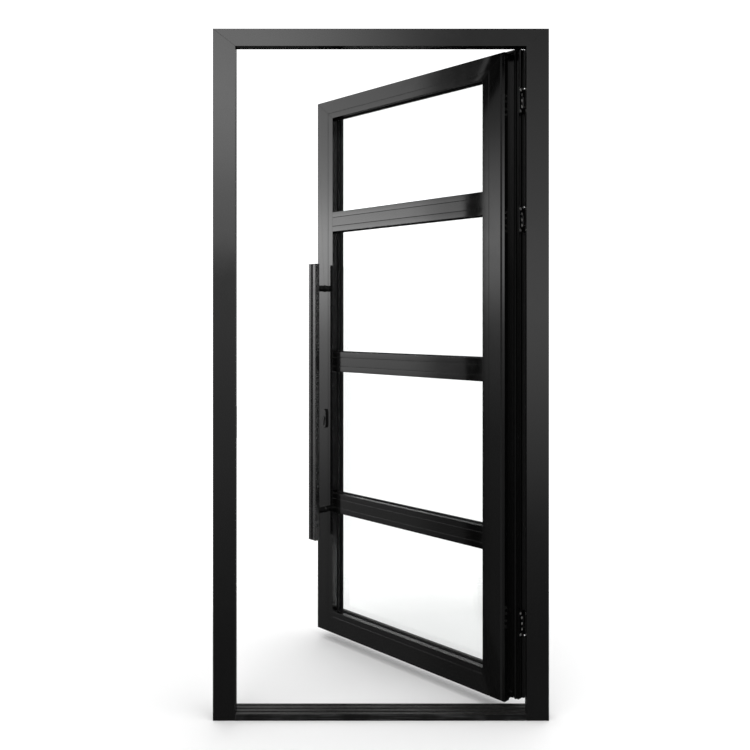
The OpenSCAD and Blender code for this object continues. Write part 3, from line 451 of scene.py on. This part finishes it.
def new_piece(node, bm, body, finish, on_leaf=True, sharp=32, stands_in=True):
    """Makes a piece of a bmesh that rides on its body, and stands in for the CAD part of its name."""
    bmesh.ops.recalc_face_normals(bm, faces=bm.faces[:])
    if on_leaf:
        bmesh.ops.transform(bm, matrix=OPENING, verts=bm.verts[:])
    mesh = bpy.data.meshes.new("fine_" + node)
    bm.to_mesh(mesh)
    bm.free()
    mesh.polygons.foreach_set("use_smooth", [True] * len(mesh.polygons))
    mesh.set_sharp_from_angle(angle=math.radians(sharp))
    mesh.materials.append(finish)
    piece = bpy.data.objects.new("fine_" + node, mesh)
    scene.collection.objects.link(piece)
    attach(piece, body)
    if stands_in:
        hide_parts(node)


def upright_edges(bm):
    """The edges that run up the shape."""
    return [edge for edge in bm.edges if abs(edge.verts[0].co.z - edge.verts[1].co.z) > 1 * MM]


def build_pull_bar():
    """Drawn tube with well rounded corners and a channel down its front."""
    channel_w, channel_deep = 9 * MM, 5 * MM
    corner, channel_corner = 2.2 * MM, 0.7 * MM
    (low, high), = solid_boxes("pull_bar")
    middle = (low.x + high.x) / 2
    channel = (middle - channel_w / 2, middle + channel_w / 2)
    floor = low.y + channel_deep
    outline = [
        (low.x, low.y), (channel[0], low.y), (channel[0], floor), (channel[1], floor),
        (channel[1], low.y), (high.x, low.y), (high.x, high.y), (low.x, high.y)]
    bm = bmesh.new()
    section = bm.faces.new([bm.verts.new((x, y, low.z)) for x, y in outline])
    grown = bmesh.ops.extrude_face_region(bm, geom=[section])["geom"]
    bmesh.ops.translate(bm, verts=[part for part in grown if isinstance(part, bmesh.types.BMVert)],
                        vec=UP * (high.z - low.z))
    upright = upright_edges(bm)
    inner = [edge for edge in upright if abs(edge.verts[0].co.x - middle) <= channel_w / 2 + MM]
    outer = [edge for edge in upright if edge not in inner]
    for edges, radius, steps in ((outer, corner, 5), (inner, channel_corner, 2)):
        bmesh.ops.bevel(bm, geom=edges, offset=radius, offset_type="OFFSET", segments=steps, profile=0.5,
                        affect="EDGES", material=-1)
    new_piece("pull_bar", bm, "leaf", BAR_COAT)


def build_bar_posts():
    """Turned posts, waisted between the leaf and the bar."""
    bm = bmesh.new()
    for low, high in solid_boxes("bar_posts"):
        collar = (high.x - low.x) / 2
        length = high.y - low.y
        foot, waist, collar_len, edge = collar - 1.5 * MM, collar - 3 * MM, 3 * MM, 0.4 * MM
        profile = [(0, 0), (foot, edge), (foot, 2.5 * MM)]
        profile += [(foot - 0.5 * MM, 3.6 * MM), (waist + 0.3 * MM, 5.2 * MM), (waist, 8 * MM)]
        profile += [(waist, length - 12 * MM), (waist + 0.3 * MM, length - 8 * MM)]
        profile += [(waist + 1.1 * MM, length - 5 * MM), (foot + 0.5 * MM, length - collar_len)]
        profile += [(collar, length - 2 * MM), (collar, length - edge), (collar - edge, length), (0, length)]
        turned(bm, profile, OUTDOORS, ((low.x + high.x) / 2, high.y, (low.z + high.z) / 2))
    new_piece("bar_posts", bm, "leaf", HARDWARE_COAT)


def build_cap_nuts():
    """Domed cap nuts on a washer face, where the bar's bolts come through."""
    bm = bmesh.new()
    for low, high in solid_boxes("bolt_cap_nuts"):
        flange, length, flange_len = (high.x - low.x) / 2, high.y - low.y, 2 * MM
        nut, fillet, rise = flange * 0.75, 0.3 * MM, 3 * MM
        profile = [(0, 0)] + rounding(flange, flange_len, 0.6 * MM) + [(nut + fillet, flange_len)]
        profile += [(nut, flange_len + fillet)] + dome(nut, length - rise, rise)
        turned(bm, profile, INDOORS, ((low.x + high.x) / 2, low.y, (low.z + high.z) / 2))
    new_piece("bolt_cap_nuts", bm, "leaf", STEEL)


def build_hinge_pins():
    """Hinge pins with a domed head."""
    bm = bmesh.new()
    head_len, shank, edge = 3 * MM, 6 * MM, 0.6 * MM
    for low, high in solid_boxes("hinge_pins", on_leaf=False):
        head = (high.x - low.x) / 2
        length = high.z - low.z
        profile = [(0, 0), (shank - edge, 0), (shank, edge), (shank, length - head_len)]
        profile += [(head, length - head_len)] + dome(head, length - head_len + edge, head_len - edge)
        turned(bm, profile, UP, ((low.x + high.x) / 2, (low.y + high.y) / 2, low.z))
    new_piece("hinge_pins", bm, "frame", STEEL, on_leaf=False)


def build_screws(node, body, direction):
    """Countersunk screws with a six-lobed socket; direction is the way their heads face."""
    bm = bmesh.new()
    on_leaf = body == "leaf"
    for low, high in solid_boxes(node, on_leaf):
        length = high.x - low.x
        head = (high.z - low.z) / 2
        shank, socket, sink, edge = head / 2, head * 0.42, 1.1 * MM, 0.15 * MM
        profile = [(0, -length), (shank * 0.4, -length), (shank, -length + 2 * shank), (shank, -head / 2)]
        profile += [(head - 0.1 * MM, -edge), (head - 0.25 * MM, 0), (socket + edge, 0)]
        profile += [(socket, -edge), (socket * 0.94, -sink), (0, -sink)]
        face = high.x if direction.x > 0 else low.x
        turned(bm, profile, direction, (face, (low.y + high.y) / 2, (low.z + high.z) / 2), steps=24,
               lobes=(6, socket + 0.1 * MM, 0.14))
    new_piece(node, bm, body, ZINC, on_leaf=on_leaf, sharp=25)


def build_inner_pull():
    """Round bar bent to a D, swept in one run, on two turned feet."""
    (low, high), = solid_boxes("inner_pull")
    foot = (high.x - low.x) / 2
    rod, bend, foot_len, neck_len = foot - 4 * MM, 16 * MM, 3 * MM, 0.8 * MM
    middle = (low.x + high.x) / 2
    lower, upper = low.z + foot, high.z - foot
    reach = high.y - low.y - rod
    bm = bmesh.new()
    ring = bmesh.ops.create_circle(bm, cap_ends=True, segments=32, radius=rod)["verts"]
    aim(bm, ring, INDOORS, (middle, low.y, lower))
    edges = list({edge for vert in ring for edge in vert.link_edges})

    def run(edges, offset):
        grown = bmesh.ops.extrude_edge_only(bm, edges=edges)["geom"]
        verts = [part for part in grown if isinstance(part, bmesh.types.BMVert)]
        bmesh.ops.translate(bm, verts=verts, vec=offset)
        return [part for part in grown if isinstance(part, bmesh.types.BMEdge)]

    def turn(edges, centre):
        made = bmesh.ops.spin(bm, geom=edges, cent=centre, axis=(1, 0, 0), angle=math.radians(90), steps=10,
                              use_merge=False, use_duplicate=False)
        return [part for part in made["geom_last"] if isinstance(part, bmesh.types.BMEdge)]

    straight = reach - bend
    edges = run(edges, INDOORS * straight)
    edges = turn(edges, (middle, low.y + straight, lower + bend))
    edges = run(edges, UP * (upper - lower - 2 * bend))
    edges = turn(edges, (middle, low.y + straight, upper - bend))
    edges = run(edges, OUTDOORS * straight)
    bmesh.ops.holes_fill(bm, edges=edges, sides=0)
    profile = [(0, 0), (foot, 0)] + rounding(foot, foot_len, 1.2 * MM) + [(rod + 0.5 * MM, foot_len)]
    profile += [(rod + 0.1 * MM, foot_len + neck_len), (0, foot_len + neck_len)]
    for z in (lower, upper):
        turned(bm, profile, INDOORS, (middle, low.y, z))
    new_piece("inner_pull", bm, "leaf", HARDWARE_COAT)


def build_thumb_turn():
    """Thumb turn: a turned neck and a waisted grip with rounded edges."""
    (low, high), = solid_boxes("thumb_turn")
    middle, level = (low.x + high.x) / 2, (low.z + high.z) / 2
    neck, neck_len, grip_w, grip_start = (high.x - low.x) / 2, 7 * MM, 7 * MM, 4 * MM
    grip_h = high.z - low.z
    bm = bmesh.new()
    profile = [(0, 0), (neck, 0)] + rounding(neck, neck_len - 1.5 * MM, 1 * MM) + [(0, neck_len - 1 * MM)]
    turned(bm, profile, INDOORS, (middle, low.y, level))
    before = set(bm.verts)
    outline = bmesh.ops.create_circle(bm, cap_ends=True, segments=48, radius=grip_w / 2)["verts"]
    for vert in outline:
        vert.co.y += math.copysign((grip_h - grip_w) / 2, vert.co.y)
    face = outline[0].link_faces[0]
    layers = [(grip_start, 0.8), (8 * MM, 0.72), (13 * MM, 0.82)]
    bmesh.ops.translate(bm, verts=outline, vec=(0, 0, layers[0][0]))
    top = high.y - low.y
    for height, _ in layers[1:] + [(top, 1.0)]:
        grown = bmesh.ops.extrude_face_region(bm, geom=[face])["geom"]
        face = next(part for part in grown if isinstance(part, bmesh.types.BMFace))
        for vert in face.verts:
            vert.co.z = height
    made = [vert for vert in bm.verts if vert not in before]
    for height, share in layers:
        for vert in made:
            if abs(vert.co.z - height) < 0.01 * MM:
                vert.co.x *= share
    rim = [edge for edge in bm.edges if all(vert in face.verts for vert in edge.verts)]
    bmesh.ops.bevel(bm, geom=rim, offset=1.4 * MM, offset_type="OFFSET", segments=4, profile=0.5,
                    affect="EDGES", material=-1)
    made = [vert for vert in bm.verts if vert not in before]
    aim(bm, made, INDOORS, (middle, low.y, level))
    new_piece("thumb_turn", bm, "spindle", HARDWARE_COAT)


def build_painted_shadow_strip():
    """Matt black rubber strip along the hinge stile's outer edge, a painted shadow line: a dark sheet laid on the
    face where there is only the shade of a gap.
    """
    (low, high), = solid_boxes("hinge_stile")
    width, proud, corner = 7.5 * MM, 0.25 * MM, 0.2 * MM
    middle = high.x - 32.5 * MM
    top, bottom = high.z - 21 * MM, low.z + 1 * MM
    bm = bmesh.new()
    bmesh.ops.create_cube(bm, size=1.0)
    bmesh.ops.scale(bm, verts=bm.verts[:], vec=(width, 2 * proud, top - bottom))
    bmesh.ops.translate(bm, verts=bm.verts[:], vec=(middle, low.y, (bottom + top) / 2))
    bmesh.ops.bevel(bm, geom=upright_edges(bm), offset=corner, offset_type="OFFSET", segments=2, profile=0.5,
                    affect="EDGES", material=-1)
    # Painted shade: this black strip stands in for the shadow line along the stile's edge; it is no real part.
    new_piece("painted_shadow_strip", bm, "leaf", RUBBER, sharp=0, stands_in=False)


build_pull_bar()
build_bar_posts()
build_painted_shadow_strip()
build_cap_nuts()
build_hinge_pins()
build_inner_pull()
build_thumb_turn()
build_screws("hinge_frame_screws", "frame", TO_LOCK)
build_screws("hinge_leaf_screws", "leaf", TO_HINGES)
build_screws("strike_screws", "frame", TO_HINGES)
build_screws("faceplate_screws", "leaf", TO_LOCK)


# ---- studio ----

def build_camera():
    """Camera at standing height, level, as the door is seen from outdoors."""
    camera = bpy.data.cameras.new("camera")
    camera.lens = 39.4
    camera.sensor_width = 36.0
    camera.shift_y = -0.0752
    camera.clip_end = 100.0
    view = bpy.data.objects.new("camera", camera)
    view.location = (-0.018, -2.525, 1.22)
    view.rotation_euler = (math.radians(90), 0, 0)
    scene.collection.objects.link(view)
    scene.camera = view


def elevation_steps(tree, elevation, steps):
    """Brightness against elevation in degrees, straight between the steps given."""
    brightest = max(level for _, level in steps)
    ramp = wire(tree, "ShaderNodeValToRGB", {0: fade_line(tree, elevation, -90.0, 90.0)})
    points = ramp.color_ramp.elements
    while len(points) < len(steps):
        points.new(0.5)
    for point, (degrees, level) in zip(points, steps):
        point.position = (degrees + 90.0) / 180.0
        point.color = grey(level / brightest)
    return maths(tree, "MULTIPLY", ramp.outputs["Color"], brightest)


def multiply(tree, first, *others):
    """Product of two or more numbers."""
    for other in others:
        first = maths(tree, "MULTIPLY", first, other)
    return first


def without(tree, mask):
    """What a mask leaves over."""
    return maths(tree, "SUBTRACT", 1.0, mask)


def bearing(tree, across, ahead):
    """Degrees round from straight ahead, as seen from above."""
    return multiply(tree, maths(tree, "ARCTAN2", across, ahead), math.degrees(1))


def cover(tree, light, panel, mask):
    """Puts a light panel in front of the light behind it."""
    return maths(tree, "ADD", multiply(tree, light, without(tree, mask)), multiply(tree, panel, mask))


def room_light(tree, elevation, behind, right):
    """Dim walls and a paler ceiling, darker low down behind the door and on its right."""
    light = elevation_steps(tree, elevation, (
        (-90, 0.10), (-40, 0.14), (-12, 0.22), (0, 0.45), (14, 0.9), (40, 1.5), (90, 1.8)))
    shade = maths(tree, "MAXIMUM", fade(tree, behind, 24.0, 11.0), fade(tree, right, 24.0, 10.0))
    low = fade(tree, elevation, 34.0, 12.0)
    return multiply(tree, light, without(tree, multiply(tree, shade, low, 0.75)))


def front_panel(tree, elevation, front):
    """What the frame's faces mirror: the room outdoors, a high window and a low glow, with their mask."""
    room = elevation_steps(tree, elevation, (
        (-40, 0.10), (-21, 0.14), (-15, 0.27), (-10, 0.42), (-5, 0.55), (0, 0.75), (4, 0.8), (10, 0.6),
        (19, 0.4), (40, 0.6)))
    window = elevation_steps(tree, elevation, (
        (3.6, 0.0), (5.2, 1.2), (8.5, 1.6), (11, 2.45), (15, 3.2), (20, 2.9), (26, 2.8), (34, 1.0)))
    window = multiply(tree, window, fade(tree, front, 7.0, -9.0, 0.06, 1.0))
    glow = elevation_steps(tree, elevation, (
        (-14, 0.0), (-4, 0.5), (1, 0.62), (8, 0.3), (14, 0.08), (18, 0.0)))
    glow = multiply(tree, glow, fade(tree, front, 2.0, 9.0))
    mask = multiply(tree, fade(tree, front, -34.0, -20.0), fade(tree, front, 34.0, 20.0))
    return maths(tree, "ADD", maths(tree, "ADD", room, window), glow), mask


def left_panel(tree, elevation, left):
    """What the open leaf's faces mirror: one tall bright panel that dims past a bearing, with its mask."""
    near = elevation_steps(tree, elevation, (
        (-40, 0.1), (-20, 0.21), (-12, 0.38), (-10, 0.57), (-8, 0.8), (-4.6, 1.15), (-1, 1.8), (0.6, 2.8),
        (4, 4.6), (6, 4.8), (7.5, 3.7), (9, 2.8), (12, 2.05), (17, 1.6), (30, 1.0)))
    far = elevation_steps(tree, elevation, (
        (-40, 0.08), (-16, 0.14), (-8, 0.2), (-4.3, 0.38), (-0.8, 0.62), (1, 1.25), (2.7, 2.1), (5.5, 2.7),
        (9.6, 1.5), (13, 0.52), (17, 0.16), (30, 0.5)))
    mask = multiply(tree, fade(tree, left, -30.0, -12.0), fade(tree, left, 30.0, 18.0))
    return cover(tree, near, far, fade(tree, left, 3.1, 4.1)), mask


def build_studio_light():
    """Soft studio: a white backdrop for the eye and the glass, light panels for what the paint mirrors."""
    world = bpy.data.worlds.new("studio")
    scene.world = world
    world.use_nodes = True
    tree = world.node_tree
    tree.nodes.clear()
    place = wire(tree, "ShaderNodeTexCoord").outputs["Generated"]
    axes = wire(tree, "ShaderNodeSeparateXYZ", {0: place})
    x, y, z = axes.outputs[0], axes.outputs[1], axes.outputs[2]
    minus_x, minus_y = multiply(tree, x, -1.0), multiply(tree, y, -1.0)
    elevation = multiply(tree, maths(tree, "ARCSINE", z), math.degrees(1))
    behind = maths(tree, "ABSOLUTE", bearing(tree, x, y))
    right = maths(tree, "ABSOLUTE", bearing(tree, y, x))
    light = room_light(tree, elevation, behind, right)
    light = cover(tree, light, *front_panel(tree, elevation, bearing(tree, x, minus_y)))
    light = cover(tree, light, *left_panel(tree, elevation, bearing(tree, minus_y, minus_x)))
    reflected = wire(tree, "ShaderNodeBackground", {"Color": light, "Strength": 1.0})
    backdrop = wire(tree, "ShaderNodeBackground", {"Color": grey(1.0), "Strength": 1.25})
    ray = wire(tree, "ShaderNodeLightPath")
    mirrored = maths(tree, "GREATER_THAN", ray.outputs["Glossy Depth"], 0.5)
    through_glass = multiply(tree, ray.outputs["Is Transmission Ray"], without(tree, mirrored))
    seen = maths(tree, "MAXIMUM", ray.outputs["Is Camera Ray"], through_glass)
    mix = wire(tree, "ShaderNodeMixShader", {0: seen, 1: reflected.outputs[0], 2: backdrop.outputs[0]})
    output = wire(tree, "ShaderNodeOutputWorld")
    tree.links.new(mix.outputs[0], output.inputs["Surface"])


def build_floor():
    """Pale studio floor that fades into the backdrop."""
    bm = bmesh.new()
    bmesh.ops.create_circle(bm, cap_ends=True, segments=96, radius=6.0)
    bmesh.ops.translate(bm, verts=bm.verts[:], vec=(0, 0, -0.5 * MM))
    mesh = bpy.data.meshes.new("floor")
    bm.to_mesh(mesh)
    bm.free()
    floor = bpy.data.objects.new("floor", mesh)
    scene.collection.objects.link(floor)
    material, tree, shader = new_finish("pale floor", Roughness=0.9, Specular_IOR_Level=0.0)
    place = on_object(tree)
    distance = wire(tree, "ShaderNodeVectorMath", {0: place}, operation="LENGTH").outputs["Value"]
    shader.inputs["Base Color"].default_value = grey(0.9)
    tree.links.new(fade(tree, distance, 1.6, 0.9), shader.inputs["Alpha"])
    mesh.materials.append(material)
    floor.visible_glossy = False


build_camera()
build_studio_light()
build_floor()
scene.view_settings.view_transform = "Standard"
